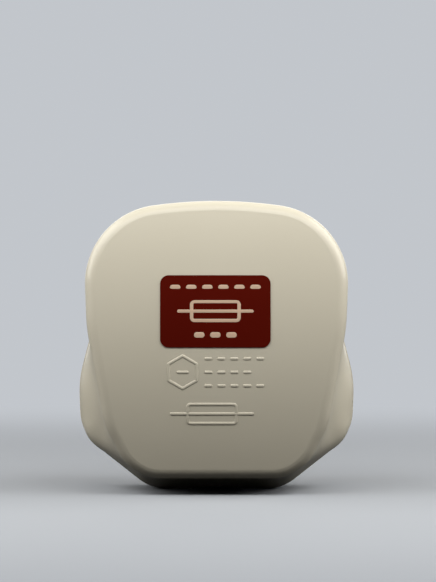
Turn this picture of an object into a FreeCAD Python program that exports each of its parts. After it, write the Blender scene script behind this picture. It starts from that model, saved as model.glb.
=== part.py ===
import FreeCAD, Part
import math
import os

os.makedirs("parts", exist_ok=True)

# A rewirable fused plug with three flat pins, in millimetres.
# X points to the live side, Y out along the pins, Z up to the earth pin.
# The origin lies on the engagement face, midway between the live and the neutral pin.
# Depths are measured from the engagement face towards the back of the cover.

# Body, seen from the back: corners of the flange
FLANGE_GRIP = 25.5        # half the width over the grips
SHOULDER_IN = 1.05        # the other corners inside that half width
WAIST_IN = 2.6
HEEL_IN = 0.4
FOOT_IN = 13.3
FOOT_Z = -16.2            # the flat that the plug stands on
HEEL_RISE = 10.15         # heel above the foot
GRIP_RISE = 10.05         # top of the grip above the heel
WAIST_RISE = 10.0         # waist above the grip
TOP_ROOM = 6.45           # top of the flange above the live terminal
TOP_SLOPE = 8.0           # degrees, fall of the crowned top edge at the shoulders
SHOULDER_REACH = 13.45    # from each corner to the ends of its arc
WAIST_REACH = 2.5
GRIP_REACH = 3.0
HEEL_REACH = 4.08
FOOT_REACH = 2.74
TOP_RUN = 0.12            # straight run between the arcs of the top edge and the shoulder

# The same corners on the back, as moves from the flange
SHOULDER_DRAW = 0.3       # inwards
WAIST_DRAW = -0.4
GRIP_DRAW = 5.3
HEEL_DRAW = 8.2
FOOT_DRAW = -0.3
TOP_FALL = 0.35           # downwards
WAIST_FALL = 0.0
GRIP_FALL = 7.5
HEEL_FALL = 4.25
FOOT_FALL = -2.9
SHOULDER_TRIM = 0.57      # off the reach of the arc
WAIST_TRIM = 0.25
GRIP_TRIM = 0.36
HEEL_TRIM = 1.68
FOOT_TRIM = 0.27

# Body, through its depth
PARTING = 8.0             # depth at which base and cover meet
BODY_DEPTH = 26.5         # depth of the back at its crown
CROWN_RISE = 3.0          # crown above the depth at which the grips have run out
CROWN_Z = 11.5            # height of the crown's highest point
CROWN_TALL = 110.0        # crown radius up and down
CROWN_WIDE = 300.0        # crown radius from side to side
OUTLINE_POINTS = 120      # points that guide one smooth outline
GRIP_STEPS = 4            # spans between the outlines that guide the grips
BACK_EDGE = 2.2           # rounding of the back's edge
FACE_EDGE = 0.8           # rounding of the engagement face's edge
WALL = 2.2
BASE_FLOOR = 3.0
LIP_THICK = 1.0           # locating lip of the base inside the cover
LIP_HIGH = 1.2
FIT_GAP = 0.15            # clearance between mouldings
COVER_SHY = 0.1           # step of the cover's outline inside the base's
CABLE_ENTRY = 4.5         # radius of the cable entry
CABLE_ENTRY_LONG = 6.6    # its length from the foot into the case

# Pins
LINE_PITCH = 22.23        # live to neutral, and the line between them to earth
LINE_PIN_WIDE = 6.35
LINE_PIN_TALL = 4.0
LINE_PIN_LONG = 17.7
EARTH_PIN_WIDE = 4.0
EARTH_PIN_TALL = 8.0
EARTH_PIN_LONG = 22.7
PIN_TIP = 1.1             # bevel round the pin's tip
PIN_GAP = 0.1             # clearance of a pin in the base
SLEEVE_LONG = 9.0         # length of sleeve outside the engagement face
SLEEVE_WALL = 0.45
SLEEVE_ROOT = 2.5         # length of sleeve inside the floor

# Terminals
HEAD_DEEP = 8.0           # terminal block of the earth and the neutral pin, above the floor
EARTH_HEAD_WIDE = 7.5
EARTH_HEAD_TALL = 9.5
LINE_HEAD_WIDE = 8.0
LINE_HEAD_TALL = 7.5
HEAD_EDGE = 0.5
WIRE_HOLE = 1.7           # radius
WIRE_HOLE_RISE = 3.4      # wire hole above the block's seat
TERMINAL_SCREW = 1.65     # radius
TERMINAL_SCREW_PROUD = 0.8
THREAD_GAP = 0.1
SLOT_WIDE = 0.7
SLOT_DEEP = 0.8

# Fuse, its clips and the live side
FUSE_X = 12.5
FUSE_FOOT_Z = -2.6
FUSE_LONG = 25.4
FUSE_RADIUS = 3.175
FUSE_CAP_LONG = 6.0
FUSE_CAP_SKIN = 0.25
FUSE_CAP_END = 0.5
FUSE_TUBE_WALL = 1.0
FUSE_WIRE = 0.25          # radius
CAP_GAP = 0.03            # clearance of the caps on the tube and in the clips
CLIP_WIDE = 5.0
CLIP_THICK = 0.6
CLIP_MOUTH = 3.6          # opening between the clip's arms
LIVE_PLATE_THICK = 1.8
LIVE_PLATE_EDGE = 0.2     # plate beyond the pin and the clip
LIVE_PLATE_TALL = 7.6
LIVE_BLOCK_WIDE = 7.5
LIVE_BLOCK_TALL = 6.5
LIVE_BLOCK_DEEP = 6.8
LIVE_BLOCK_GAP = 1.25     # live terminal above the fuse

# Cover screw, its retaining washer and its insert
COVER_SCREW_Z = 10.0
COVER_SCREW = 1.7         # shank radius
COVER_SCREW_HEAD = 3.2
COVER_SCREW_HEAD_HIGH = 2.0
COVER_SCREW_SUNK = 0.5    # head below the engagement face
COVER_SCREW_BITE = 5.6    # length of shank in the insert
SCREW_POST = 4.0          # radius of the post on the base
SCREW_POST_TOP = 11.4     # depth of its end
RETAINER_THICK = 0.8
RETAINER_RADIUS = 3.4
COVER_BOSS = 4.4          # radius of the boss in the cover
INSERT_RADIUS = 2.8
INSERT_LONG = 7.0
INSERT_GAP = 0.05         # clearance of the insert in the boss
SCREW_TIP_ROOM = 1.5      # bore beyond the insert

# Cord clamp
CLAMP_RISE = 2.5          # clamp bar above the wall at the foot
CLAMP_END = 2.7           # bar beyond its screws
CLAMP_WIDE = 5.0
CLAMP_THICK = 2.0
CLAMP_ARCH = 4.2          # radius inside the arch
CLAMP_ARCH_SINK = 1.5     # arch centre below the bar's seat
CLAMP_BOSS = 2.7          # radius
CLAMP_BOSS_HIGH = 3.0
CLAMP_SCREW = 1.4         # shank radius
CLAMP_SCREW_LONG = 4.2    # shank
CLAMP_SCREW_HEAD = 2.4
CLAMP_SCREW_HEAD_HIGH = 1.6

# Ribs of the mouldings
RIB_THICK = 1.2
RIB_GAP = 0.3             # ribs beside the terminals
BASE_RIB_HIGH = 6.0
RIB_FOOT_Z = -4.5
LIVE_RIB_TOP_Z = 16.0
NEUTRAL_RIB_TOP_Z = 5.0
HOLD_GAP = 0.3            # cover's holding ribs above the terminals and the fuse

# Fuse label
LABEL_WIDE = 19.6
LABEL_TALL = 12.8
LABEL_THICK = 0.15
LABEL_CORNER = 1.5
LABEL_X = -0.2
LABEL_DROP = 20.2         # label's centre below the top

LINE_X = LINE_PITCH / 2
RIM_DEPTH = BODY_DEPTH - CROWN_RISE
FLOOR_Y = -BASE_FLOOR
LIVE_SEAT_Y = FLOOR_Y - LIVE_PLATE_THICK
FUSE_Y = LIVE_SEAT_Y - CLIP_THICK - FUSE_RADIUS - CAP_GAP
FUSE_TOP_Z = FUSE_FOOT_Z + FUSE_LONG
LOWER_CLIP_Z = FUSE_FOOT_Z + FUSE_CAP_LONG / 2
UPPER_CLIP_Z = FUSE_TOP_Z - FUSE_CAP_LONG / 2
CLIP_INNER = FUSE_RADIUS + CAP_GAP
CLIP_OUTER = CLIP_INNER + CLIP_THICK
LIVE_PLATE_LEFT = LINE_X - LINE_PIN_WIDE / 2 - LIVE_PLATE_EDGE
LIVE_PLATE_RIGHT = FUSE_X + CLIP_OUTER + LIVE_PLATE_EDGE
LIVE_BLOCK_Z = FUSE_TOP_Z + LIVE_BLOCK_GAP + LIVE_BLOCK_TALL / 2
FLANGE_TOP = LIVE_BLOCK_Z + LIVE_BLOCK_TALL / 2 + TOP_ROOM
LABEL_Z = FLANGE_TOP - LABEL_DROP
CLAMP_SEAT_Y = FLOOR_Y - CLAMP_BOSS_HIGH
CLAMP_Z = FOOT_Z + WALL + CLAMP_RISE + CLAMP_WIDE / 2
CLAMP_ARCH_OUTER = CLAMP_ARCH + CLAMP_THICK
CLAMP_SCREW_X = CLAMP_ARCH_OUTER + CLAMP_SCREW_HEAD
CLAMP_HALF = CLAMP_SCREW_X + CLAMP_END
BOSS_END_Y = -SCREW_POST_TOP - RETAINER_THICK - FIT_GAP
INSERT_END_Y = BOSS_END_Y - INSERT_LONG
COVER_SCREW_SEAT_Y = -COVER_SCREW_SUNK - COVER_SCREW_HEAD_HIGH


def brick(x0, x1, y0, y1, z0, z1):
    return Part.makeBox(x1 - x0, y1 - y0, z1 - z0, FreeCAD.Vector(x0, y0, z0))


def rod_y(radius, x, z, y0, y1):
    return Part.makeCylinder(radius, y1 - y0, FreeCAD.Vector(x, y0, z), FreeCAD.Vector(0, 1, 0))


def rod_z(radius, x, y, z0, z1):
    return Part.makeCylinder(radius, z1 - z0, FreeCAD.Vector(x, y, z0), FreeCAD.Vector(0, 0, 1))


def edges_at_depth(solid, y):
    """Edges of a solid that lie whole in the plane at y."""
    near = 1e-4
    return [e for e in solid.Edges if abs(e.BoundBox.YMin - y) < near and abs(e.BoundBox.YMax - y) < near]


def edges_along_depth(solid):
    """Straight edges of a solid that run along Y."""
    near = 1e-4
    return [e for e in solid.Edges if e.BoundBox.XLength < near and e.BoundBox.ZLength < near]


def directions(corners, index):
    """Unit vectors along the two edges of an outline that meet at a corner."""
    x, z = corners[index][:2]
    last = corners[index - 1]
    following = corners[(index + 1) % len(corners)]
    arriving = FreeCAD.Vector(x - last[0], 0, z - last[1]).normalize()
    leaving = FreeCAD.Vector(following[0] - x, 0, following[1] - z).normalize()
    return arriving, leaving


def half_turn(corners, index):
    """Half of the angle by which an outline turns at a corner."""
    arriving, leaving = directions(corners, index)
    return arriving.getAngle(leaving) / 2


def inset_corners(corners, inset):
    """Corners (x, z, radius) of the outline that lies inside the given clockwise one by inset."""
    moved = []
    for index, (x, z, radius) in enumerate(corners):
        arriving, leaving = directions(corners, index)
        inward = FreeCAD.Vector(arriving.z + leaving.z, 0, -arriving.x - leaving.x)
        shift = inward * (inset / (1 + arriving.dot(leaving)))
        hollow = arriving.z * leaving.x - arriving.x * leaving.z < 0
        moved.append((x + shift.x, z + shift.z, radius + inset if hollow else radius - inset))
    return moved


def rounded_outline(corners, y):
    """Closed wire at y through corners (x, z, radius), each rounded by a tangent arc.
    It starts in the middle of the first corner's arc."""
    points = [FreeCAD.Vector(x, y, z) for x, z, radius in corners]
    arcs = []
    for index, (x, z, radius) in enumerate(corners):
        corner = points[index]
        back = (points[index - 1] - corner).normalize()
        ahead = (points[(index + 1) % len(points)] - corner).normalize()
        turn = half_turn(corners, index)
        reach = radius * math.tan(turn)
        inward = (back + ahead).normalize()
        middle = corner + inward * (radius / math.cos(turn) - radius)
        arcs.append(Part.Arc(corner + back * reach, middle, corner + ahead * reach))
    first = arcs[0].toShape()
    halfway = (first.FirstParameter + first.LastParameter) / 2
    edges = [Part.Edge(first.Curve, halfway, first.LastParameter)]
    for last, arc in zip(arcs, arcs[1:]):
        edges.append(Part.LineSegment(last.EndPoint, arc.StartPoint).toShape())
        edges.append(arc.toShape())
    edges.append(Part.LineSegment(arcs[-1].EndPoint, arcs[0].StartPoint).toShape())
    edges.append(Part.Edge(first.Curve, first.FirstParameter, halfway))
    return Part.Wire(edges)


def smooth_outline(wire):
    """The same outline as one closed curve, so that a loft through such curves has no seams."""
    curve = Part.BSplineCurve()
    points = wire.discretize(Number=OUTLINE_POINTS + 1)[:-1]
    curve.interpolate(Points=points, PeriodicFlag=True, Parameters=list(range(OUTLINE_POINTS + 1)))
    return Part.Wire(curve.toShape())


def upper_corners(top, shoulder, reach):
    """Crowned top edge and shoulder of the right half; the top's arc ends short of the shoulder's."""
    slope = math.radians(TOP_SLOPE)
    top_reach = shoulder / math.cos(slope) - reach - TOP_RUN
    apex = top + top_reach * math.tan(slope / 2)
    return [(0.0, apex, top_reach), (shoulder, apex - shoulder * math.tan(slope), reach)]


def flange_corners():
    """Corners (x, z, reach) of the right half, from the top down."""
    heel_z = FOOT_Z + HEEL_RISE
    grip_z = heel_z + GRIP_RISE
    return upper_corners(FLANGE_TOP, FLANGE_GRIP - SHOULDER_IN, SHOULDER_REACH) + [
        (FLANGE_GRIP - WAIST_IN, grip_z + WAIST_RISE, WAIST_REACH),
        (FLANGE_GRIP, grip_z, GRIP_REACH),
        (FLANGE_GRIP - HEEL_IN, heel_z, HEEL_REACH),
        (FLANGE_GRIP - FOOT_IN, FOOT_Z, FOOT_REACH),
    ]


def back_corners():
    """The same corners on the back."""
    moves = [
        (WAIST_DRAW, WAIST_FALL, WAIST_TRIM),
        (GRIP_DRAW, GRIP_FALL, GRIP_TRIM),
        (HEEL_DRAW, HEEL_FALL, HEEL_TRIM),
        (FOOT_DRAW, FOOT_FALL, FOOT_TRIM),
    ]
    shoulder = FLANGE_GRIP - SHOULDER_IN - SHOULDER_DRAW
    corners = upper_corners(FLANGE_TOP - TOP_FALL, shoulder, SHOULDER_REACH - SHOULDER_TRIM)
    for corner, move in zip(flange_corners()[2:], moves):
        corners.append([place - shift for place, shift in zip(corner, move)])
    return corners


def radii_from_reaches(corners):
    """Corners (x, z, radius) from corners (x, z, reach)."""
    rounded = []
    for index, (x, z, reach) in enumerate(corners):
        rounded.append((x, z, reach / math.tan(half_turn(corners, index))))
    return rounded


def body_outline(share, depth, inset=0.0):
    """Outline of the body: share 0 is the flange, 1 the back; inset moves it inwards."""
    half = []
    for flange, back in zip(flange_corners(), back_corners()):
        half.append([a + (b - a) * share for a, b in zip(flange, back)])
    mirrored = [(-x, z, reach) for x, z, reach in reversed(half[1:])]
    corners = radii_from_reaches(half + mirrored)
    return rounded_outline(inset_corners(corners, inset), -depth)


def grip_share(depth):
    """How far the outline has drawn in from flange to back: an early, soft S curve."""
    left = 1 - min((depth - PARTING) / (RIM_DEPTH - PARTING), 1.0)
    return 1 - left ** 3 * (4 - 3 * left)


def prism(wire, depth):
    """Solid from a wire, drawn out towards the back by depth."""
    return Part.Face(wire).extrude(FreeCAD.Vector(0, -depth, 0))


def crown(grow):
    """Barrel whose side is the double crown of the back, grown by an offset."""
    centre = FreeCAD.Vector(0, CROWN_WIDE - BODY_DEPTH, CROWN_Z)
    axis = FreeCAD.Vector(0, 0, 1)
    return Part.makeTorus(CROWN_WIDE - CROWN_TALL, CROWN_TALL + grow, centre, axis, -90, 90)


def cover_form(inset, wall):
    """Solid form of the cover: its sides moved in by inset, its crowned back by wall."""
    span = RIM_DEPTH - PARTING
    depths = [PARTING + span * step / GRIP_STEPS for step in range(GRIP_STEPS + 1)]
    depths.append(BODY_DEPTH + BACK_EDGE)
    wires = [smooth_outline(body_outline(grip_share(depth), depth, inset)) for depth in depths]
    return Part.makeLoft(wires, True, False).common(crown(-wall))


def cable_entry():
    """Round passage for the flexible cord, half in the base and half in the cover."""
    return rod_z(CABLE_ENTRY, 0, -PARTING, FOOT_Z - WALL, FOOT_Z + CABLE_ENTRY_LONG)


def holding_ribs():
    """Ribs inside the cover that keep the terminals and the fuse on their seats."""
    head_end = FLOOR_Y - HEAD_DEEP - HOLD_GAP
    fuse_end = FUSE_Y - FUSE_RADIUS - HOLD_GAP
    ribs = []
    for side in (-1, 1):
        earth_x = side * (EARTH_HEAD_WIDE - RIB_THICK) / 2
        neutral_x = -LINE_X + side * (LINE_HEAD_WIDE - RIB_THICK) / 2
        for x, z, tall in ((earth_x, LINE_PITCH, EARTH_HEAD_TALL), (neutral_x, 0.0, LINE_HEAD_TALL)):
            ribs.append(brick(x - RIB_THICK / 2, x + RIB_THICK / 2, -BODY_DEPTH, head_end,
                              z - tall / 2, z + tall / 2))
    middle = FUSE_FOOT_Z + FUSE_LONG / 2
    ribs.append(brick(FUSE_X - FUSE_RADIUS, FUSE_X + FUSE_RADIUS, -BODY_DEPTH, fuse_end,
                      middle - RIB_THICK / 2, middle + RIB_THICK / 2))
    return ribs


def cover_moulding():
    outside = cover_form(COVER_SHY, 0.0)
    back_edges = [edge for edge in outside.Edges if edge.BoundBox.YMax < -PARTING - BACK_EDGE]
    shell = outside.makeFillet(BACK_EDGE, back_edges).cut(cover_form(WALL, WALL))
    boss = rod_y(COVER_BOSS, 0, COVER_SCREW_Z, -BODY_DEPTH, BOSS_END_Y)
    inner = [part.common(outside) for part in holding_ribs() + [boss]]
    shell = shell.multiFuse(inner)
    rebate = prism(body_outline(0.0, PARTING, WALL - LIP_THICK - FIT_GAP), LIP_HIGH + FIT_GAP)
    seat = rod_y(INSERT_RADIUS + INSERT_GAP, 0, COVER_SCREW_Z, INSERT_END_Y, BOSS_END_Y)
    tip_room = rod_y(COVER_SCREW + FIT_GAP, 0, COVER_SCREW_Z, INSERT_END_Y - SCREW_TIP_ROOM, BOSS_END_Y)
    return shell.cut([rebate, seat, tip_room, cable_entry()])


def base_moulding():
    slab = prism(body_outline(0.0, 0.0), PARTING)
    slab = slab.makeFillet(FACE_EDGE, edges_at_depth(slab, 0.0))
    lip = prism(body_outline(0.0, PARTING, WALL - LIP_THICK), LIP_HIGH)
    hollow = prism(body_outline(0.0, BASE_FLOOR, WALL), PARTING + LIP_HIGH)
    tray = slab.fuse(lip).cut(hollow)
    clamp_sides = (-CLAMP_SCREW_X, CLAMP_SCREW_X)
    rib_end = FLOOR_Y - BASE_RIB_HIGH
    live_half = LIVE_BLOCK_WIDE / 2
    added = [rod_y(CLAMP_BOSS, x, CLAMP_Z, CLAMP_SEAT_Y, FLOOR_Y) for x in clamp_sides]
    added.append(rod_y(SCREW_POST, 0, COVER_SCREW_Z, -SCREW_POST_TOP, FLOOR_Y))
    added.append(brick(FUSE_X - live_half, FUSE_X + live_half, LIVE_SEAT_Y + CLIP_THICK, FLOOR_Y,
                       UPPER_CLIP_Z - CLIP_WIDE / 2, LIVE_BLOCK_Z + LIVE_BLOCK_TALL / 2))
    live_rib = LIVE_PLATE_LEFT - RIB_GAP - RIB_THICK
    neutral_rib = -LINE_X + LINE_HEAD_WIDE / 2 + RIB_GAP
    for x, top in ((live_rib, LIVE_RIB_TOP_Z), (neutral_rib, NEUTRAL_RIB_TOP_Z)):
        added.append(brick(x, x + RIB_THICK, rib_end, FLOOR_Y, RIB_FOOT_Z, top))
    shank_end = CLAMP_SEAT_Y - CLAMP_THICK + CLAMP_SCREW_LONG
    clamp_hole = CLAMP_SCREW + THREAD_GAP
    holes = [rod_y(clamp_hole, x, CLAMP_Z, CLAMP_SEAT_Y, shank_end + FIT_GAP) for x in clamp_sides]
    holes.append(rod_y(COVER_SCREW + FIT_GAP, 0, COVER_SCREW_Z, -SCREW_POST_TOP, 0))
    holes.append(rod_y(COVER_SCREW_HEAD + FIT_GAP, 0, COVER_SCREW_Z, COVER_SCREW_SEAT_Y, 0))
    holes.append(cable_entry())
    room = 2 * PIN_GAP
    for x in (-LINE_X, LINE_X):
        holes.append(bar(LINE_PIN_WIDE + room, LINE_PIN_TALL + room, x, 0.0, FLOOR_Y, 0.0))
    holes.append(bar(EARTH_PIN_WIDE + room, EARTH_PIN_TALL + room, 0.0, LINE_PITCH, FLOOR_Y, 0.0))
    return tray.multiFuse(added).cut(holes).removeSplitter()


def bar(wide, tall, x, z, y0, y1):
    """Bar of rectangular section along Y, centred on x and z."""
    return brick(x - wide / 2, x + wide / 2, y0, y1, z - tall / 2, z + tall / 2)


def pin_blade(wide, tall, x, z, long):
    blade = bar(wide, tall, x, z, FLOOR_Y, long)
    return blade.makeChamfer(PIN_TIP, edges_at_depth(blade, long))


def pin_sleeve(x):
    """Insulating sleeve, flush with the pin that it surrounds."""
    neck = 2 * SLEEVE_WALL
    outside = bar(LINE_PIN_WIDE, LINE_PIN_TALL, x, 0.0, -SLEEVE_ROOT, SLEEVE_LONG)
    return outside.cut(bar(LINE_PIN_WIDE - neck, LINE_PIN_TALL - neck, x, 0.0, -SLEEVE_ROOT, SLEEVE_LONG))


def terminal_block(wide, tall, deep, x, z, seat):
    """Pillar terminal on a seat: a block with a wire hole along Z and a screw hole from the cover side."""
    block = bar(wide, tall, x, z, seat - deep, seat)
    block = block.makeFillet(HEAD_EDGE, edges_along_depth(block))
    wire = rod_z(WIRE_HOLE, x, seat - WIRE_HOLE_RISE, z - tall / 2, z + tall / 2)
    screw = rod_y(TERMINAL_SCREW + THREAD_GAP, x, z, seat - deep, seat - WIRE_HOLE_RISE)
    return block.cut([wire, screw])


def earth_pin():
    head = terminal_block(EARTH_HEAD_WIDE, EARTH_HEAD_TALL, HEAD_DEEP, 0.0, LINE_PITCH, FLOOR_Y)
    return head.fuse(pin_blade(EARTH_PIN_WIDE, EARTH_PIN_TALL, 0.0, LINE_PITCH, EARTH_PIN_LONG))


def live_terminal():
    return terminal_block(LIVE_BLOCK_WIDE, LIVE_BLOCK_TALL, LIVE_BLOCK_DEEP,
                          FUSE_X, LIVE_BLOCK_Z, LIVE_SEAT_Y)


def neutral_pin():
    head = terminal_block(LINE_HEAD_WIDE, LINE_HEAD_TALL, HEAD_DEEP, -LINE_X, 0.0, FLOOR_Y)
    blade = pin_blade(LINE_PIN_WIDE, LINE_PIN_TALL, -LINE_X, 0.0, LINE_PIN_LONG)
    return head.fuse(blade).cut(pin_sleeve(-LINE_X))


def live_pin():
    """Live pin with the flat plate that carries the lower fuse clip."""
    half = LIVE_PLATE_TALL / 2
    plate = brick(LIVE_PLATE_LEFT, LIVE_PLATE_RIGHT, LIVE_SEAT_Y, FLOOR_Y, -half, half)
    plate = plate.makeFillet(HEAD_EDGE, edges_along_depth(plate))
    blade = pin_blade(LINE_PIN_WIDE, LINE_PIN_TALL, LINE_X, 0.0, LINE_PIN_LONG)
    return plate.fuse(blade).cut(pin_sleeve(LINE_X))


def slotted_stud(radius, x, z, start, end):
    """Round stud along Y from start to end, with a slot across its end."""
    slot = end - math.copysign(SLOT_DEEP, end - start)
    stud = rod_y(radius, x, z, min(start, end), max(start, end))
    return stud.cut(bar(2 * radius, SLOT_WIDE, x, z, min(slot, end), max(slot, end)))


def slotted_screw(shank, shank_long, head, head_high, x, z, seat, towards):
    """Screw along Y whose head lies on a seat; towards is the sign of Y on the head's side."""
    shank_end = seat - towards * shank_long
    body = rod_y(shank, x, z, min(seat, shank_end), max(seat, shank_end))
    return body.fuse(slotted_stud(head, x, z, seat, seat + towards * head_high))


def terminal_screws():
    """Headless screws that end in the middle of their wire holes."""
    places = [
        (0.0, LINE_PITCH, FLOOR_Y, HEAD_DEEP),
        (-LINE_X, 0.0, FLOOR_Y, HEAD_DEEP),
        (FUSE_X, LIVE_BLOCK_Z, LIVE_SEAT_Y, LIVE_BLOCK_DEEP),
    ]
    screws = []
    for x, z, seat, deep in places:
        tip = seat - WIRE_HOLE_RISE
        long = deep - WIRE_HOLE_RISE + TERMINAL_SCREW_PROUD
        screws.append(slotted_stud(TERMINAL_SCREW, x, z, tip, tip - long))
    return Part.makeCompound(screws)


def clip_ring(z):
    """Spring ring of a fuse clip: open towards the cover, with a foot on its seat."""
    low, high = z - CLIP_WIDE / 2, z + CLIP_WIDE / 2
    ring = rod_z(CLIP_OUTER, FUSE_X, FUSE_Y, low, high)
    foot = brick(FUSE_X - CLIP_INNER, FUSE_X + CLIP_INNER, LIVE_SEAT_Y - CLIP_THICK, LIVE_SEAT_Y, low, high)
    mouth = brick(FUSE_X - CLIP_MOUTH / 2, FUSE_X + CLIP_MOUTH / 2, FUSE_Y - CLIP_OUTER, FUSE_Y, low, high)
    return ring.fuse(foot).cut([rod_z(CLIP_INNER, FUSE_X, FUSE_Y, low, high), mouth])


def upper_fuse_clip():
    """Upper clip with the strap that runs on under the live terminal."""
    strap = brick(FUSE_X - CLIP_INNER, FUSE_X + CLIP_INNER, LIVE_SEAT_Y, LIVE_SEAT_Y + CLIP_THICK,
                  UPPER_CLIP_Z - CLIP_WIDE / 2, LIVE_BLOCK_Z + LIVE_BLOCK_TALL / 2)
    return clip_ring(UPPER_CLIP_Z).fuse(strap).removeSplitter()


def fuse_cap(end, inward):
    """Metal cap on one end of the fuse; inward is the sign of Z towards the fuse's middle."""
    skirt = end + inward * FUSE_CAP_LONG
    floor = end + inward * FUSE_CAP_END
    cap = rod_z(FUSE_RADIUS, FUSE_X, FUSE_Y, min(end, skirt), max(end, skirt))
    return cap.cut(rod_z(FUSE_RADIUS - FUSE_CAP_SKIN, FUSE_X, FUSE_Y, min(floor, skirt), max(floor, skirt)))


def fuse_body():
    outer = FUSE_RADIUS - FUSE_CAP_SKIN - CAP_GAP
    low, high = FUSE_FOOT_Z + FUSE_CAP_END, FUSE_TOP_Z - FUSE_CAP_END
    tube = rod_z(outer, FUSE_X, FUSE_Y, low, high)
    return tube.cut(rod_z(outer - FUSE_TUBE_WALL, FUSE_X, FUSE_Y, low, high))


def fuse_wire():
    return rod_z(FUSE_WIRE, FUSE_X, FUSE_Y, FUSE_FOOT_Z + FUSE_CAP_END, FUSE_TOP_Z - FUSE_CAP_END)


def screw_ring(radius, y0, y1):
    """Ring round the shank of the cover screw."""
    ring = rod_y(radius, 0.0, COVER_SCREW_Z, y0, y1)
    return ring.cut(rod_y(COVER_SCREW + THREAD_GAP, 0.0, COVER_SCREW_Z, y0, y1))


def cover_screw():
    shank_long = COVER_SCREW_SEAT_Y - BOSS_END_Y + COVER_SCREW_BITE
    return slotted_screw(COVER_SCREW, shank_long, COVER_SCREW_HEAD, COVER_SCREW_HEAD_HIGH,
                         0.0, COVER_SCREW_Z, COVER_SCREW_SEAT_Y, 1)


def cord_clamp():
    """Clamp bar with an arch over the cord and two screw holes."""
    low, high = CLAMP_Z - CLAMP_WIDE / 2, CLAMP_Z + CLAMP_WIDE / 2
    top = CLAMP_SEAT_Y - CLAMP_THICK
    arch_y = CLAMP_SEAT_Y + CLAMP_ARCH_SINK
    strip = brick(-CLAMP_HALF, CLAMP_HALF, top, CLAMP_SEAT_Y, low, high)
    arch = rod_z(CLAMP_ARCH_OUTER, 0, arch_y, low, high)
    below = brick(-CLAMP_ARCH_OUTER, CLAMP_ARCH_OUTER, CLAMP_SEAT_Y, arch_y + CLAMP_ARCH_OUTER, low, high)
    cuts = [rod_z(CLAMP_ARCH, 0, arch_y, low, high), below]
    for x in (-CLAMP_SCREW_X, CLAMP_SCREW_X):
        cuts.append(rod_y(CLAMP_SCREW + FIT_GAP, x, CLAMP_Z, top, CLAMP_SEAT_Y))
    return strip.fuse(arch).cut(cuts)


def cord_clamp_screws():
    seat = CLAMP_SEAT_Y - CLAMP_THICK
    screws = []
    for x in (-CLAMP_SCREW_X, CLAMP_SCREW_X):
        screws.append(slotted_screw(CLAMP_SCREW, CLAMP_SCREW_LONG, CLAMP_SCREW_HEAD, CLAMP_SCREW_HEAD_HIGH,
                                    x, CLAMP_Z, seat, -1))
    return Part.makeCompound(screws)


def fuse_label():
    """Thin label that follows the crown of the back."""
    half_wide, half_tall = LABEL_WIDE / 2, LABEL_TALL / 2
    corners = []
    for side_x, side_z in ((-1, 1), (1, 1), (1, -1), (-1, -1)):
        corners.append((LABEL_X + side_x * half_wide, LABEL_Z + side_z * half_tall, LABEL_CORNER))
    column = prism(rounded_outline(corners, -RIM_DEPTH), BODY_DEPTH)
    return column.common(crown(LABEL_THICK)).cut(crown(0.0))


NODES = {
    "cover": cover_moulding(),
    "base": base_moulding(),
    "earth_pin": earth_pin(),
    "neutral_pin": neutral_pin(),
    "live_pin": live_pin(),
    "neutral_pin_sleeve": pin_sleeve(-LINE_X),
    "live_pin_sleeve": pin_sleeve(LINE_X),
    "lower_fuse_clip": clip_ring(LOWER_CLIP_Z),
    "upper_fuse_clip": upper_fuse_clip(),
    "live_terminal": live_terminal(),
    "terminal_screws": terminal_screws(),
    "fuse_body": fuse_body(),
    "fuse_wire": fuse_wire(),
    "fuse_cap_lower": fuse_cap(FUSE_FOOT_Z, 1),
    "fuse_cap_upper": fuse_cap(FUSE_TOP_Z, -1),
    "cover_screw": cover_screw(),
    "cover_screw_retainer": screw_ring(RETAINER_RADIUS, -SCREW_POST_TOP - RETAINER_THICK, -SCREW_POST_TOP),
    "cover_insert": screw_ring(INSERT_RADIUS, INSERT_END_Y, BOSS_END_Y),
    "cord_clamp": cord_clamp(),
    "cord_clamp_screws": cord_clamp_screws(),
    "fuse_label": fuse_label(),
}

for name, shape in NODES.items():
    shape.exportStep("parts/" + name + ".step")
    print(name, len(shape.Solids), "solids, valid:", shape.isValid(), "volume:", round(shape.Volume, 1))
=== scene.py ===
import math

import bpy
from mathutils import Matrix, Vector


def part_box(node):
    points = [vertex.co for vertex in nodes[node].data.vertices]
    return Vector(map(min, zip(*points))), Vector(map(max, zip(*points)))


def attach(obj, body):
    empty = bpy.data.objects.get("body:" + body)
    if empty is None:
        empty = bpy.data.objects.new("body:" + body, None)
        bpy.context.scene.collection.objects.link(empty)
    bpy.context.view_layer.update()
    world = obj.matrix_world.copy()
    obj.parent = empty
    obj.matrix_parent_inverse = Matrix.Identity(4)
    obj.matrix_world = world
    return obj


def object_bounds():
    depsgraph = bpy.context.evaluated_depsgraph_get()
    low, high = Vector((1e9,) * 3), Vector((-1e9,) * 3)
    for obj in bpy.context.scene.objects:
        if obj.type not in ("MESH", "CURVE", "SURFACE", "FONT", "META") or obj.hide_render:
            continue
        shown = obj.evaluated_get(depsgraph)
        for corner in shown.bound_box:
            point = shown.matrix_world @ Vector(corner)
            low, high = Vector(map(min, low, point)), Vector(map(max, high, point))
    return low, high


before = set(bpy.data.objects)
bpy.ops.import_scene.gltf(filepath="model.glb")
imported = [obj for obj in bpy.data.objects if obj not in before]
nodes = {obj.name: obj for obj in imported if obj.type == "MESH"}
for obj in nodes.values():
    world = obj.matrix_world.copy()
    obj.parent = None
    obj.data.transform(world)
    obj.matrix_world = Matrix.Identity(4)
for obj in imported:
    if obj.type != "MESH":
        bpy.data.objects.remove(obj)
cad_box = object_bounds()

# Looks of a three pin plug: a finish for each solid, print on the label, moulded marks and a plain studio.
# Blender works in metres. Values in millimetres are multiplied by MM where they are used.
MM = 0.001
scene = bpy.context.scene

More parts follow.
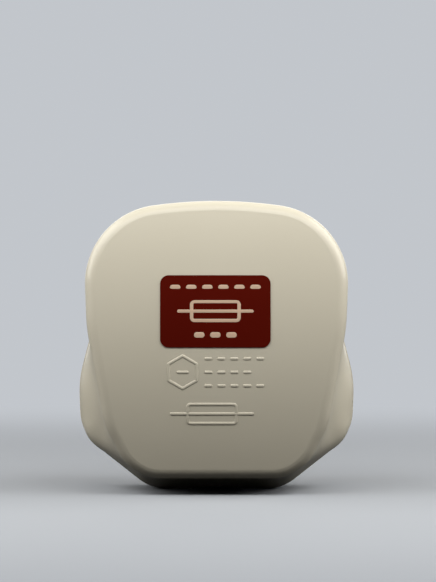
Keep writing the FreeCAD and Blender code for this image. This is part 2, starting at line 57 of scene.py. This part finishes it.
# Middle of the label, in millimetres: X to the live side, Z up to the earth pin
LABEL_LOW, LABEL_HIGH = (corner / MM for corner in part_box("fuse_label"))
LABEL_X = (LABEL_LOW.x + LABEL_HIGH.x) / 2
LABEL_Z = (LABEL_LOW.z + LABEL_HIGH.z) / 2

# Print on the fuse label, in millimetres
PRINT_HIGH = 0.02
PRINT_LINE_WIDE = 0.62
PRINT_DASH_WIDE = 1.0
PRINT_ROW = 4.2             # rows of dashes above and below the middle
PRINT_UPPER_DASHES = 6
PRINT_LOWER_DASHES = 3
PRINT_DASH = 1.9
PRINT_PITCH = 2.85
PRINT_FUSE_WIDE = 8.4
PRINT_FUSE_TALL = 3.3
PRINT_FUSE_LEAD = 2.6

# Raised marks moulded into the cover below the label, in millimetres
MARK_WIDE = 0.55
MARK_HIGH = 0.1
BADGE_X = -6.0
BADGE_Z = 6.0
BADGE_SIDES = 6
BADGE_RADIUS = 2.9
BADGE_BAR = 2.2
MARK_ROWS = (5, 4, 5)       # dashes in each row
MARK_ROW_LEFT = -2.2
MARK_ROW_TOP_Z = 8.4
MARK_ROW_DROP = 2.4
MARK_DASH = 1.5
MARK_PITCH = 2.3
FUSE_MARK_X = -0.8
FUSE_MARK_Z = -1.4
FUSE_MARK_WIDE = 8.6
FUSE_MARK_TALL = 3.4
FUSE_MARK_LEAD = 3.2
FUSE_CORNER = 0.5           # rounding of both fuse symbols
FUSE_CORNER_STEPS = 5

# How strokes are laid on the crowned back, in millimetres
STROKE_SIDES = 12
STROKE_STEP = 0.1
STROKE_MERGE = 0.0005       # points this near become one, which closes the rounded ends
STROKE_START_Y = -40.0      # strokes are drawn here and then dropped on to the surface
STROKE_DROP = 1000.0        # longest drop
INTO_PLUG = (0.0, 1.0, 0.0)
OUT_OF_PLUG = (0.0, -1.0, 0.0)

# Patterns of the finishes: scales in waves a metre, depths in millimetres
CLOUD_SCALE = 70.0
GRAIN_SCALE = 2200.0
GRAIN_DEEP = 0.02
WIPE_SCALE = 400.0
WIPE_TURN = (0.3, 0.6, 0.2)
WIPE_STRETCH = (1.0, 0.25, 0.12)
LINE_SCALE = 3000.0
LINE_STRETCH = (1.0, 0.03, 1.0)
LINE_DEEP = 0.002
LINE_BUMP = 0.12
TARNISH_SCALE = 220.0
MASK_RANGE = 0.2, 0.8       # part of a noise mask that is spread over a finish's whole range
OPAQUE = 1.0

# Floor and surround, in metres
BLACK = (0.0, 0.0, 0.0)
FLOOR_Z = cad_box[0].z
FLOOR_HALF = 6.0
FLOOR_COLOURS = (0.41, 0.43, 0.46), (0.425, 0.445, 0.475)
FLOOR_CLOUD_SCALE = 9.0
FLOOR_ROUGH = 0.65
FLOOR_FADE = 0.07, 0.30               # distances at which the floor starts and ends to fade
FLOOR_BOUNCE = (0.04, 0.04, 0.04)     # colour by which the floor lights the plug
FLOOR_IN_GLOSS = 0.2                  # share of the floor that shows in a mirror image
SURROUND_COLOUR = (0.54, 0.565, 0.60)
SURROUND_LIGHT = (0.017, 0.018, 0.02)
SURROUND_IN_GLOSS = 0.6

# Lamps: name, place and size in metres, power in watts
LAMP_COLOUR = (1.0, 0.99, 0.965)
LAMP_TARGET = (0.0, -0.01, 0.01)
LAMPS = (
    ("overhead_box", (0.0, -0.12, 0.14), 0.3, 0.08, 0.28),
    ("left_box", (-0.23, -0.02, 0.17), 0.24, 0.24, 0.54),
    ("right_box", (0.23, -0.02, 0.17), 0.24, 0.24, 0.64),
    ("rear_box", (0.0, 0.27, 0.11), 0.3, 0.2, 0.28),
)

# Camera: level, and looking along Y at the plug's back
CAMERA_PLACE = (0.27, -422.0, 20.4)   # in millimetres
CAMERA_TURN = (math.pi / 2, 0.0, 0.0)
CAMERA_CLIP = 0.01, 20.0              # in metres
LENS = 138.06
SENSOR = 36.0

NODE_GAP = 200.0            # space between nodes in the node editor


# Node trees

def feed(node, inputs):
    """Gives a node's inputs, by name or number, another node's output, a plain colour or a plain value."""
    for name, value in inputs.items():
        socket = node.inputs[name]
        if isinstance(value, bpy.types.NodeSocket):
            node.id_data.links.new(value, socket)
        elif socket.type == "RGBA":
            socket.default_value = (*value, OPAQUE)
        else:
            socket.default_value = value


def add(tree, kind, inputs=None, **settings):
    """New node beside the last one of a tree, with its settings and then its inputs."""
    node = tree.nodes.new(kind)
    node.location = (NODE_GAP * len(tree.nodes), 0.0)
    for name, value in settings.items():
        setattr(node, name, value)
    feed(node, inputs or {})
    return node


def maths(tree, operation, *values, clamp=False):
    """Result of a Math node on outputs or plain numbers."""
    node = add(tree, "ShaderNodeMath", operation=operation, use_clamp=clamp)
    feed(node, dict(enumerate(values)))
    return node.outputs["Value"]


def new_group(name, kind, inputs, outputs):
    """Empty node group. Inputs are name, socket type and value; outputs are name and socket type."""
    group = bpy.data.node_groups.new(name, kind)
    for label, socket, value in inputs:
        made = group.interface.new_socket(name=label, in_out="INPUT", socket_type=socket)
        if value is not None:
            made.default_value = value
    for label, socket in outputs:
        group.interface.new_socket(name=label, in_out="OUTPUT", socket_type=socket)
    return group


# Strokes: lines drawn in X and Z, in millimetres, that become print or raised marks

def line(x0, z0, x1, z1):
    """Straight open stroke."""
    return [(x0, z0), (x1, z1)], False


def hexagon(x, z, radius):
    """Closed stroke with a corner at its top."""
    turns = [math.tau * i / BADGE_SIDES for i in range(BADGE_SIDES)]
    return [(x + radius * math.sin(turn), z + radius * math.cos(turn)) for turn in turns], True


def rounded_frame(x, z, wide, tall):
    """Closed rectangle with rounded corners."""
    points = []
    for quarter, (side_x, side_z) in enumerate(((1, 1), (-1, 1), (-1, -1), (1, -1))):
        centre_x = x + side_x * (wide / 2 - FUSE_CORNER)
        centre_z = z + side_z * (tall / 2 - FUSE_CORNER)
        for i in range(FUSE_CORNER_STEPS + 1):
            angle = (quarter + i / FUSE_CORNER_STEPS) * math.pi / 2
            across = FUSE_CORNER * math.cos(angle)
            up = FUSE_CORNER * math.sin(angle)
            points.append((centre_x + across, centre_z + up))
    return points, True


def dashes(left, z, count, long, pitch):
    """Row of dashes that starts at its left end."""
    return [line(left + i * pitch, z, left + i * pitch + long, z) for i in range(count)]


def centred_dashes(x, z, count, long, pitch):
    """Row of dashes about its middle."""
    return dashes(x - ((count - 1) * pitch + long) / 2, z, count, long, pitch)


def fuse_symbol(x, z, wide, tall, lead):
    """Rectangle with a line through it and leads on both ends."""
    reach = wide / 2 + lead
    return [rounded_frame(x, z, wide, tall), line(x - reach, z, x + reach, z)]


def label_dashes():
    """Two rows of printed dashes, above and below the label's middle."""
    above = centred_dashes(LABEL_X, LABEL_Z + PRINT_ROW, PRINT_UPPER_DASHES, PRINT_DASH, PRINT_PITCH)
    below = centred_dashes(LABEL_X, LABEL_Z - PRINT_ROW, PRINT_LOWER_DASHES, PRINT_DASH, PRINT_PITCH)
    return above + below


def label_symbol():
    """Printed fuse symbol in the label's middle."""
    return fuse_symbol(LABEL_X, LABEL_Z, PRINT_FUSE_WIDE, PRINT_FUSE_TALL, PRINT_FUSE_LEAD)


def mark_strokes():
    """Moulded badge, rows of dashes and fuse symbol."""
    strokes = [hexagon(BADGE_X, BADGE_Z, BADGE_RADIUS)]
    strokes.append(line(BADGE_X - BADGE_BAR / 2, BADGE_Z, BADGE_X + BADGE_BAR / 2, BADGE_Z))
    for row, count in enumerate(MARK_ROWS):
        row_z = MARK_ROW_TOP_Z - row * MARK_ROW_DROP
        strokes += dashes(MARK_ROW_LEFT, row_z, count, MARK_DASH, MARK_PITCH)
    strokes += fuse_symbol(FUSE_MARK_X, FUSE_MARK_Z, FUSE_MARK_WIDE, FUSE_MARK_TALL, FUSE_MARK_LEAD)
    return strokes


def rounded_ends_tree():
    """Scale along an open stroke that rounds its two ends; a closed stroke keeps 1."""
    tree = new_group(
        "rounded_ends",
        "GeometryNodeTree",
        [("Width", "NodeSocketFloat", MARK_WIDE * MM)],
        [("Scale", "NodeSocketFloat")],
    )
    width = add(tree, "NodeGroupInput").outputs["Width"]
    along = add(tree, "GeometryNodeSplineParameter").outputs["Length"]
    total = add(tree, "GeometryNodeSplineLength").outputs["Length"]
    closed = add(tree, "GeometryNodeInputSplineCyclic").outputs["Cyclic"]
    nearest_end = maths(tree, "MINIMUM", maths(tree, "SUBTRACT", total, along), along)
    half_width = maths(tree, "MULTIPLY", width, 0.5)
    from_end = maths(tree, "DIVIDE", nearest_end, half_width, clamp=True)
    from_middle = maths(tree, "SUBTRACT", 1.0, from_end)
    height_squared = maths(tree, "SUBTRACT", 1.0, maths(tree, "POWER", from_middle, 2.0))
    height = maths(tree, "SQRT", height_squared)
    add(tree, "NodeGroupOutput", {"Scale": maths(tree, "MAXIMUM", height, closed)})
    return tree


def stroke_tree():
    """Geometry nodes that drop drawn lines on to a surface and give them a rounded, raised section."""
    tree = new_group("surface_strokes", "GeometryNodeTree", [
        ("Lines", "NodeSocketGeometry", None),
        ("Surface", "NodeSocketObject", None),
        ("Width", "NodeSocketFloat", MARK_WIDE * MM),
        ("Height", "NodeSocketFloat", MARK_HIGH * MM),
        ("Step", "NodeSocketFloat", STROKE_STEP * MM),
        ("Sides", "NodeSocketInt", STROKE_SIDES),
        ("Finish", "NodeSocketMaterial", None),
    ], [("Strokes", "NodeSocketGeometry")])
    tree.is_modifier = True
    given = add(tree, "NodeGroupInput").outputs

    # Each stroke is cut into short steps and dropped on to the surface.
    curve = add(tree, "GeometryNodeMeshToCurve", {"Mesh": given["Lines"]})
    fine = add(tree, "GeometryNodeResampleCurve", {
        "Curve": curve.outputs["Curve"],
        "Length": given["Step"],
    }, mode="LENGTH")
    surface = add(tree, "GeometryNodeObjectInfo", {"Object": given["Surface"]}, transform_space="ORIGINAL")
    cast = add(tree, "GeometryNodeRaycast", {
        "Target Geometry": surface.outputs["Geometry"],
        "Ray Direction": INTO_PLUG,
        "Ray Length": STROKE_DROP * MM,
    })
    laid = add(tree, "GeometryNodeSetPosition", {
        "Geometry": fine.outputs["Curve"],
        "Position": cast.outputs["Hit Position"],
    })
    upright = add(tree, "GeometryNodeSetCurveNormal", {
        "Curve": laid.outputs["Geometry"],
        "Normal": OUT_OF_PLUG,
    }, mode="FREE")

    # The section is a circle, flattened to the stroke's height and half its width.
    circle = add(tree, "GeometryNodeCurvePrimitiveCircle", {"Resolution": given["Sides"], "Radius": 1.0})
    size = add(tree, "ShaderNodeCombineXYZ", {
        "X": given["Height"],
        "Y": maths(tree, "MULTIPLY", given["Width"], 0.5),
        "Z": 1.0,
    })
    section = add(tree, "GeometryNodeTransform", {
        "Geometry": circle.outputs["Curve"],
        "Scale": size.outputs["Vector"],
    })
    ends = add(tree, "GeometryNodeGroup", {"Width": given["Width"]}, node_tree=rounded_ends_tree())
    sweep = add(tree, "GeometryNodeCurveToMesh", {
        "Curve": upright.outputs["Curve"],
        "Profile Curve": section.outputs["Geometry"],
        "Scale": ends.outputs["Scale"],
        "Fill Caps": True,
    })
    merged = add(tree, "GeometryNodeMergeByDistance", {
        "Geometry": sweep.outputs["Mesh"],
        "Distance": STROKE_MERGE * MM,
    })
    smooth = add(tree, "GeometryNodeSetShadeSmooth", {"Geometry": merged.outputs["Geometry"]})
    realized = add(tree, "GeometryNodeRealizeInstances", {"Geometry": smooth.outputs["Geometry"]})
    finished = add(tree, "GeometryNodeSetMaterial", {
        "Geometry": realized.outputs["Geometry"],
        "Material": given["Finish"],
    })
    add(tree, "NodeGroupOutput", {"Strokes": finished.outputs["Geometry"]})
    return tree


STROKES = stroke_tree()


def drawn_lines(name, strokes):
    """Mesh of bare edges along some strokes, in front of the plug."""
    points = []
    edges = []
    for line_points, closed in strokes:
        first = len(points)
        points += [(x * MM, STROKE_START_Y * MM, z * MM) for x, z in line_points]
        last = len(points) - 1
        edges += [(i, i + 1) for i in range(first, last)]
        if closed:
            edges.append((last, first))
    mesh = bpy.data.meshes.new(name)
    mesh.from_pydata(points, edges, [])
    return mesh


def laid_strokes(name, strokes, surface, width, height, finish):
    """Strokes on a CAD node's surface as one plain mesh that rides on the plug."""
    drawn = drawn_lines(name + "_lines", strokes)
    piece = bpy.data.objects.new(name, drawn)
    scene.collection.objects.link(piece)
    modifier = piece.modifiers.new("strokes", "NODES")
    modifier.node_group = STROKES
    values = {"Surface": surface, "Width": width * MM, "Height": height * MM, "Finish": finish}
    for item in STROKES.interface.items_tree:
        if item.item_type == "SOCKET" and item.in_out == "INPUT" and item.name in values:
            modifier[item.identifier] = values[item.name]
    ready = piece.evaluated_get(bpy.context.evaluated_depsgraph_get())
    mesh = bpy.data.meshes.new_from_object(ready)
    piece.modifiers.clear()
    piece.data = mesh
    mesh.name = name
    bpy.data.meshes.remove(drawn)
    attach(piece, "root")


# Patterns and parts of the finishes

def noise(tree, vector, scale, detail, roughness=0.5, distortion=0.0):
    """Mask of soft noise."""
    node = add(tree, "ShaderNodeTexNoise", {
        "Vector": vector,
        "Scale": scale,
        "Detail": detail,
        "Roughness": roughness,
        "Distortion": distortion,
    })
    return node.outputs["Fac"]


def handling_group():
    """Slow cloudiness, fine grain and soft wipe marks of a handled surface."""
    group = new_group("handled_surface", "ShaderNodeTree", [
        ("Vector", "NodeSocketVector", None),
        ("Cloud Scale", "NodeSocketFloat", CLOUD_SCALE),
        ("Grain Scale", "NodeSocketFloat", GRAIN_SCALE),
        ("Wipe Scale", "NodeSocketFloat", WIPE_SCALE),
    ], [("Cloud", "NodeSocketFloat"), ("Grain", "NodeSocketFloat"), ("Wipes", "NodeSocketFloat")])
    given = add(group, "NodeGroupInput").outputs
    turned = add(group, "ShaderNodeMapping", {
        "Vector": given["Vector"],
        "Rotation": WIPE_TURN,
        "Scale": WIPE_STRETCH,
    })
    add(group, "NodeGroupOutput", {
        "Cloud": noise(group, given["Vector"], given["Cloud Scale"], detail=1.0, roughness=0.4),
        "Grain": noise(group, given["Vector"], given["Grain Scale"], detail=2.0, roughness=0.6),
        "Wipes": noise(group, turned.outputs["Vector"], given["Wipe Scale"], detail=2.0),
    })
    return group


def drawn_metal_group():
    """Fine lines along the pins' direction and slow patches of tarnish."""
    group = new_group("drawn_metal", "ShaderNodeTree", [
        ("Vector", "NodeSocketVector", None),
        ("Line Scale", "NodeSocketFloat", LINE_SCALE),
        ("Patch Scale", "NodeSocketFloat", TARNISH_SCALE),
    ], [("Lines", "NodeSocketFloat"), ("Tarnish", "NodeSocketFloat")])
    given = add(group, "NodeGroupInput").outputs
    stretched = add(group, "ShaderNodeMapping", {"Vector": given["Vector"], "Scale": LINE_STRETCH})
    lines = noise(group, stretched.outputs["Vector"], given["Line Scale"], detail=3.0, roughness=0.6)
    tarnish = noise(group, given["Vector"], given["Patch Scale"], detail=4.0, roughness=0.6, distortion=0.4)
    add(group, "NodeGroupOutput", {"Lines": lines, "Tarnish": tarnish})
    return group


HANDLED = handling_group()
DRAWN = drawn_metal_group()


def bare_material(name):
    """Material with a shader, an output and Object coordinates."""
    material = bpy.data.materials.new(name)
    material.use_nodes = True
    tree = material.node_tree
    tree.nodes.clear()
    shader = add(tree, "ShaderNodeBsdfPrincipled")
    add(tree, "ShaderNodeOutputMaterial", {"Surface": shader.outputs["BSDF"]})
    coordinates = add(tree, "ShaderNodeTexCoord")
    return material, tree, shader, coordinates.outputs["Object"]


def toned(tree, mask, dark, light):
    """Colour between two tones, by a mask."""
    ramp = add(tree, "ShaderNodeValToRGB", {"Fac": mask})
    for stop, place, tone in zip(ramp.color_ramp.elements, MASK_RANGE, (dark, light)):
        stop.position = place
        stop.color = (*tone, OPAQUE)
    return ramp.outputs["Color"]


def ranged(tree, mask, low, high):
    """Value between two others, by a mask."""
    mask_low, mask_high = MASK_RANGE
    node = add(tree, "ShaderNodeMapRange", {
        "Value": mask,
        "From Min": mask_low,
        "From Max": mask_high,
        "To Min": low,
        "To Max": high,
    })
    return node.outputs["Result"]


def bumped(tree, height, strength, deep):
    """Normal of a fine relief."""
    bump = add(tree, "ShaderNodeBump", {"Height": height, "Strength": strength, "Distance": deep * MM})
    return bump.outputs["Normal"]


def handled_finish(name, dark, light, rough, grain, cloud_scale=CLOUD_SCALE, shine=None):
    """Moulded, printed or pressed material: two near tones, gloss uneven from wiping, and fine grain."""
    material, tree, shader, vector = bare_material(name)
    pattern = {"Vector": vector, "Cloud Scale": cloud_scale}
    surface = add(tree, "ShaderNodeGroup", pattern, node_tree=HANDLED).outputs
    feed(shader, {
        "Base Color": toned(tree, surface["Cloud"], dark, light),
        "Roughness": ranged(tree, surface["Wipes"], *rough),
        "Normal": bumped(tree, surface["Grain"], grain, GRAIN_DEEP),
    })
    feed(shader, shine or {})
    return material


def metal_finish(name, dark, light, rough, line_scale=LINE_SCALE):
    """Drawn or pressed metal: tarnish patches between two tones and fine lines along the pins."""
    material, tree, shader, vector = bare_material(name)
    pattern = {"Vector": vector, "Line Scale": line_scale}
    surface = add(tree, "ShaderNodeGroup", pattern, node_tree=DRAWN).outputs
    feed(shader, {
        "Base Color": toned(tree, surface["Tarnish"], dark, light),
        "Roughness": ranged(tree, surface["Lines"], *rough),
        "Normal": bumped(tree, surface["Lines"], LINE_BUMP, LINE_DEEP),
        "Metallic": 1.0,
    })
    return material


# Finishes of the plug's own pieces

def ivory_plastic():
    """Glossy moulding of the cover and the base."""
    dark = (0.725, 0.672, 0.538)
    light = (0.737, 0.685, 0.552)
    shine = {"IOR": 1.52}
    return handled_finish("ivory_moulding", dark, light, rough=(0.28, 0.31), grain=0.08, shine=shine)


def label_paper():
    """Red-brown label, nearly matt."""
    dark = (0.098, 0.0045, 0.0012)
    light = (0.11, 0.0055, 0.0016)
    shine = {"Specular IOR Level": 0.03}
    return handled_finish("brown_label", dark, light, rough=(0.5, 0.6), grain=0.15, shine=shine)


def label_ink():
    """Cream print on the label."""
    dark = (0.75, 0.53, 0.38)
    light = (0.79, 0.57, 0.41)
    return handled_finish("cream_print", dark, light, rough=(0.36, 0.46), grain=0.1)


def pin_sleeve():
    """Black insulating sleeves of two pins."""
    dark = (0.012, 0.012, 0.013)
    light = (0.02, 0.02, 0.021)
    return handled_finish("black_sleeve", dark, light, rough=(0.38, 0.5), grain=0.2)


def clamp_fibre():
    """Pressed fibre of the cord clamp."""
    dark = (0.16, 0.07, 0.035)
    light = (0.24, 0.11, 0.055)
    return handled_finish("brown_fibre", dark, light, rough=(0.6, 0.75), grain=0.5, cloud_scale=500.0)


def fuse_ceramic():
    """Unglazed tube of the fuse."""
    dark = (0.66, 0.64, 0.60)
    light = (0.74, 0.72, 0.68)
    return handled_finish("fuse_tube", dark, light, rough=(0.4, 0.55), grain=0.2)


def pin_brass():
    """Drawn and polished brass, as on the pins."""
    dark = (0.83, 0.63, 0.31)
    light = (0.87, 0.68, 0.36)
    return metal_finish("pin_brass", dark, light, rough=(0.2, 0.26), line_scale=2500.0)


def clip_bronze():
    """Spring strip of the fuse clips."""
    dark = (0.60, 0.34, 0.18)
    light = (0.74, 0.46, 0.27)
    return metal_finish("clip_bronze", dark, light, rough=(0.25, 0.4))


def screw_zinc():
    """Zinc plated steel of the screws."""
    dark = (0.52, 0.53, 0.52)
    light = (0.68, 0.68, 0.66)
    return metal_finish("screw_zinc", dark, light, rough=(0.25, 0.42))


def fuse_cap_nickel():
    """Nickel plated caps of the fuse."""
    dark = (0.62, 0.60, 0.55)
    light = (0.74, 0.72, 0.67)
    return metal_finish("fuse_cap_nickel", dark, light, rough=(0.18, 0.3))


def fuse_wire():
    """Bare silvered wire in the fuse."""
    dark = (0.70, 0.68, 0.64)
    light = (0.80, 0.78, 0.75)
    return metal_finish("fuse_wire", dark, light, rough=(0.2, 0.35))


# Finish for each material slot of the solids
FINISHES = {
    "ivory_plastic": ivory_plastic(),
    "pin_brass": pin_brass(),
    "pin_sleeve": pin_sleeve(),
    "clip_bronze": clip_bronze(),
    "screw_steel": screw_zinc(),
    "fuse_ceramic": fuse_ceramic(),
    "fuse_cap_metal": fuse_cap_nickel(),
    "fuse_wire_metal": fuse_wire(),
    "clamp_fibre": clamp_fibre(),
    "label_paper": label_paper(),
}


def dress_cad_nodes():
    """Gives each CAD node the finish of its material slot."""
    for node in nodes.values():
        slot_name = node.data.materials[0].name.split(".")[0]
        node.data.materials[0] = FINISHES[slot_name]


def print_and_marks():
    """Print on the label and marks on the cover's back."""
    label = nodes["fuse_label"]
    cover = nodes["cover"]
    ink = label_ink()
    ivory = FINISHES["ivory_plastic"]
    laid_strokes("label_dashes", label_dashes(), label, PRINT_DASH_WIDE, PRINT_HIGH, ink)
    laid_strokes("label_symbol", label_symbol(), label, PRINT_LINE_WIDE, PRINT_HIGH, ink)
    laid_strokes("moulded_marks", mark_strokes(), cover, MARK_WIDE, MARK_HIGH, ivory)


# Studio

def shown_share(tree, in_gloss):
    """Share of a pale surround that a ray sees: all for the camera, and in_gloss for a mirror image."""
    rays = add(tree, "ShaderNodeLightPath").outputs
    return maths(tree, "MULTIPLY_ADD", rays["Is Glossy Ray"], in_gloss, rays["Is Camera Ray"])


def mixed(tree, factor, low, high):
    """Colour between two others, which are outputs or plain colours."""
    mix = add(tree, "ShaderNodeMix", {"Factor": factor, "A": low, "B": high}, data_type="RGBA")
    return mix.outputs["Result"]


def floor_material():
    """Pale floor near the plug that fades into the surround's colour."""
    material, tree, shader, vector = bare_material("pale_floor")
    shown = shown_share(tree, FLOOR_IN_GLOSS)
    near = toned(tree, noise(tree, vector, FLOOR_CLOUD_SCALE, detail=2.0), *FLOOR_COLOURS)
    away = add(tree, "ShaderNodeVectorMath", {0: vector}, operation="LENGTH")
    fade_start, fade_end = FLOOR_FADE
    fade = add(tree, "ShaderNodeMapRange", {
        "Value": away.outputs["Value"],
        "From Min": fade_start,
        "From Max": fade_end,
    }, interpolation_type="SMOOTHSTEP")
    far_share = fade.outputs["Result"]
    lit = mixed(tree, shown, FLOOR_BOUNCE, near)
    distant = mixed(tree, far_share, BLACK, SURROUND_COLOUR)
    feed(shader, {
        "Base Color": mixed(tree, far_share, lit, BLACK),
        "Emission Color": mixed(tree, shown, BLACK, distant),
        "Emission Strength": 1.0,
        "Roughness": FLOOR_ROUGH,
        "Specular IOR Level": 0.0,
    })
    return material


def studio_floor():
    """Wide flat floor at the plug's foot."""
    mesh = bpy.data.meshes.new("floor")
    corners = ((-1, -1), (1, -1), (1, 1), (-1, 1))
    mesh.from_pydata([(x * FLOOR_HALF, y * FLOOR_HALF, FLOOR_Z) for x, y in corners], [], [(0, 1, 2, 3)])
    mesh.materials.append(floor_material())
    floor = bpy.data.objects.new("floor", mesh)
    scene.collection.objects.link(floor)


def softbox(name, place, wide, tall, power):
    """Soft rectangular lamp that faces the plug."""
    lamp = bpy.data.lights.new(name, "AREA")
    lamp.shape = "RECTANGLE"
    lamp.size = wide
    lamp.size_y = tall
    lamp.energy = power
    lamp.color = LAMP_COLOUR
    holder = bpy.data.objects.new(name, lamp)
    holder.location = place
    aim = Vector(LAMP_TARGET) - Vector(place)
    holder.rotation_euler = aim.to_track_quat("-Z", "Y").to_euler()
    scene.collection.objects.link(holder)


def studio_surround():
    """Pale all round for the camera, and nearly dark for the light on the plug."""
    world = bpy.data.worlds.new("studio")
    world.use_nodes = True
    tree = world.node_tree
    shown = shown_share(tree, SURROUND_IN_GLOSS)
    feed(tree.nodes["Background"], {"Color": mixed(tree, shown, SURROUND_LIGHT, SURROUND_COLOUR)})
    scene.world = world


def studio_camera():
    """Camera at the photograph's place."""
    data = bpy.data.cameras.new("camera")
    data.sensor_width = SENSOR
    data.lens = LENS
    data.clip_start, data.clip_end = CAMERA_CLIP
    camera = bpy.data.objects.new("camera", data)
    camera.location = [place * MM for place in CAMERA_PLACE]
    camera.rotation_euler = CAMERA_TURN
    scene.collection.objects.link(camera)
    scene.camera = camera


dress_cad_nodes()
print_and_marks()
studio_floor()
for lamp_values in LAMPS:
    softbox(*lamp_values)
studio_surround()
studio_camera()
scene.view_settings.view_transform = "Standard"
